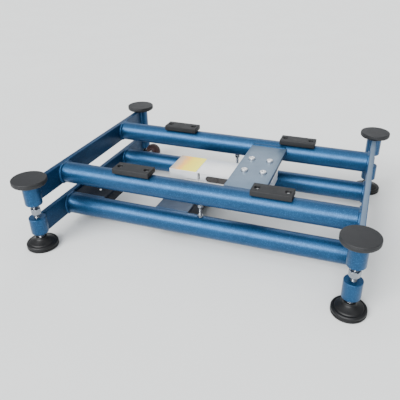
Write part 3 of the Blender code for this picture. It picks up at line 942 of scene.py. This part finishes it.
bolts = []
for x in BOLT_X:
    for sy in (-1, 1):
        hx = hex_r(0.013)
        face = 0.0062

        def cone(d):
            return lambda a: min(hx(a), face + d * 1.73)
        drops = [0.0, 0.0003, 0.0006, 0.0009]
        rows = [(0.0, 0.0374)] + [(cone(d), 0.0374 + d) for d in drops] + [(hx, 0.0415), (0.0, 0.0415)]
        bolts.append(place(revolve(list(reversed(rows)), 72), (x, sy * BOLT_Y, 0)))
        washer = soften([(0.0, 0.0429), (0.0078, 0.0429), (0.0078, 0.0416), (0.0, 0.0416)], 0.0003, 3)
        bolts.append(place(revolve(washer, 64), (x, sy * BOLT_Y, 0)))
        bolts.append(place(revolve([(0.0, 0.0640), (0.0039, 0.0640), (0.0039, 0.0430), (0.0, 0.0430)], 32),
                           (x, sy * BOLT_Y, 0)))
piece("cell_base_bolts", join(*bolts), MAT_ZINC, "base_frame")

# the pan-head screw in the column channel
rows = [(0.0, 0.0472), (0.0007, 0.0472), (0.0009, 0.0478), (0.0014, 0.0477), (0.0019, 0.0474),
        (0.0022, 0.0468), (0.0022, 0.0405), (0.0, 0.0405)]
piece("column_channel_screw", place(revolve(soften(rows, 0.0004, 3), 48), (*COLUMN_HOLE, 0.0)),
      MAT_SCREW, "base_frame")

# ---------------------------------------------------------------------------
# corner hardware
# ---------------------------------------------------------------------------
flo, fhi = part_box("foot_base_front_left")
FR, FH = (fhi.x - flo.x) / 2, fhi.z
foot_rows = [(0.0, 0.0066), (0.00515, 0.0066), (0.00515, FH), (0.0074, FH), (0.0080, FH - 0.0008),
             (0.0083, FH - 0.0019), (0.0092, FH - 0.0033), (0.0112, 0.0127), (0.0142, 0.0110),
             (0.0174, 0.0096), (0.0181, 0.0086), (0.0187, 0.0082), (0.0194, 0.0086), (0.0206, 0.0087),
             (0.0217, 0.0080), (FR, 0.0068), (FR, 0.0046), (FR - 0.0010, 0.0042), (FR - 0.0010, 0.0036),
             (FR, 0.0032), (FR, 0.0010), (FR - 0.0010, 0.0), (FR - 0.0040, 0.0), (FR - 0.0045, 0.0006),
             (0.0, 0.0006)]
foot_rad = [0, 0.0002, 0.0003, 0.0004, 0.0006, 0.001, 0.002, 0.003, 0.003, 0.0008, 0.0005, 0.0004,
            0.0005, 0.0006, 0.0006, 0.0008, 0.0003, 0.0002, 0.0002, 0.0003, 0.0006, 0.0006, 0.0003,
            0.0003, 0]
foot_data = revolve(soften(foot_rows, foot_rad, 4), 112)
nlo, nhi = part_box("lock_nut_front_left")
slo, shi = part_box("stop_screw_front_left")
dlo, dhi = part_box("foot_stud_front_left")
stop_data = thread_rod(0.0039, 0.0006, 0.00125, slo.z, shi.z, plain_below=0.0440)
stud_data = thread_rod(0.0049, 0.00075, 0.0015, dlo.z, dhi.z, plain_below=0.0150)
NUT_TURN = [math.radians(d) for d in (13, 30, 0, 0)]    # as each was left by its spanner
for k, c in enumerate(CORNERS):
    m = mid("foot_base_" + c)
    piece("levelling_foot_" + c, place(foot_data, (m.x, m.y, 0)), MAT_FOOT, "foot_pad_" + c,
          "foot_base_" + c, smooth=45)
    piece("m10_stud_" + c, place(stud_data, (m.x, m.y, 0)), MAT_ZINC, "foot_screw_" + c,
          "foot_stud_" + c, smooth=30)
    piece("m10_stop_" + c, place(stop_data, (m.x, m.y, 0)), MAT_ZINC, "overload_stop_" + c,
          "stop_screw_" + c, smooth=30)
    nut = hex_nut(0.013, nlo.z, nhi.z, 0.0040, NUT_TURN[k])
    piece("hex_nut_" + c, place(nut, (m.x, m.y, 0)), MAT_ZINC, "overload_stop_" + c,
          "lock_nut_" + c)

# middle stops and their nuts
for side in ("front", "rear"):
    clo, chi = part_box("centre_stop_" + side)
    y = (clo.y + chi.y) / 2
    head0 = 0.0652
    hx = hex_r(0.0040)
    rows = [(0.0, chi.z - 0.0018), (hx, chi.z - 0.0016), (hx, chi.z - 0.0002), (0.0026, chi.z)]
    outer = soften([(0.0026, chi.z), (0.0039, chi.z), (0.0039, head0), (0.0022, head0)],
                   [0, 0.0008, 0.0004, 0], 4)
    shank = thread_rod(0.00228, 0.00034, 0.0008, clo.z, head0 + 0.0001, n=24, per=5, chamfer=0.0004)
    head = revolve(rows + outer[1:] + [(0.0, head0)], 60)
    piece("middle_stop_screw_" + side, place(join(head, shank), (0, y, 0)), MAT_ZINC,
          "middle_stop_" + side, "centre_stop_" + side, smooth=30)
    nut = hex_nut(0.0080, 0.0489, 0.0520, 0.0026, n=60)
    piece("middle_stop_nut_" + side, place(nut, (0, y, 0)), MAT_ZINC, "base_frame")

# ---------------------------------------------------------------------------
# column clamp knob
# ---------------------------------------------------------------------------
klo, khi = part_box("column_clamp_knob")
KR = (khi.x - klo.x) / 2
kx, kz = (klo.x + khi.x) / 2, (klo.z + khi.z) / 2
k0, k1 = 0.1195, khi.y


def grip(r, amount=0.0006, lobes=24):
    return lambda a: r - amount * (0.5 - 0.5 * math.cos(a * lobes)) ** 1.5


prof = soften([(0.0, k1 - 0.0008), (KR * 0.60, k1 - 0.0008), (KR * 0.66, k1), (KR - 0.0016, k1),
               (KR, k1 - 0.0020), (KR, k0 + 0.0014), (KR - 0.0014, k0), (0.0074, k0),
               (0.0066, k0 - 0.0042), (0.0, k0 - 0.0042)],
              [0, 0.0004, 0.0005, 0.0012, 0.0012, 0.0010, 0.0010, 0.0004, 0.0006, 0], 5)
rows = [(grip(r) if r > KR - 0.0009 else r, z) for r, z in prof]
piece("clamp_knob_head", place(revolve(rows, 192), (kx, 0, kz), "Y"), MAT_KNOB, "clamp_knob",
      "column_clamp_knob", smooth=50)
piece("clamp_knob_screw", place(thread_rod(0.0039, 0.0006, 0.00125, klo.y, k0 - 0.0040, n=32),
                                (kx, 0, kz), "Y"), MAT_ZINC, "clamp_knob", smooth=30)

# ---------------------------------------------------------------------------
# floor and light
# ---------------------------------------------------------------------------
bpy.ops.mesh.primitive_plane_add(size=30.0, location=(0.0, 6.0, 0.0))
floor = bpy.context.object
floor.name = "floor"
fm = Mat("floor_pale", 0.9, 0.0, Specular_IOR_Level=0.1)
fm.base(fm.ramp(fm.noise(6.0, 3.0), [(0.3, (0.80, 0.815, 0.805)), (0.7, (0.82, 0.835, 0.825))]))
floor.data.materials.append(fm.m)

world = bpy.data.worlds.new("soft_studio")
world.use_nodes = True
bg = world.node_tree.nodes["Background"]
bg.inputs["Color"].default_value = (0.93, 0.96, 1.0, 1.0)
bg.inputs["Strength"].default_value = 0.55
scene.world = world


def sun(name, azimuth, elevation, strength, angle, tint=(1.0, 1.0, 1.0)):
    """azimuth 0 is from -Y, growing towards +X."""
    d = bpy.data.lights.new(name, "SUN")
    d.energy, d.angle, d.color = strength, math.radians(angle), tint
    o = bpy.data.objects.new(name, d)
    a, e = math.radians(azimuth), math.radians(elevation)
    to_light = Vector((math.sin(a) * math.cos(e), -math.cos(a) * math.cos(e), math.sin(e)))
    o.rotation_euler = to_light.to_track_quat("Z", "Y").to_euler()
    o.location = to_light * 3.0
    scene.collection.objects.link(o)
    return o


sun("key_left", -32.0, 35.0, 3.1, 30.0)
sun("key_front", 0.0, 35.0, 2.7, 30.0)
sun("top_soft", 0.0, 82.0, 1.25, 70.0)
sun("back_soft", 196.0, 33.0, 0.45, 34.0)
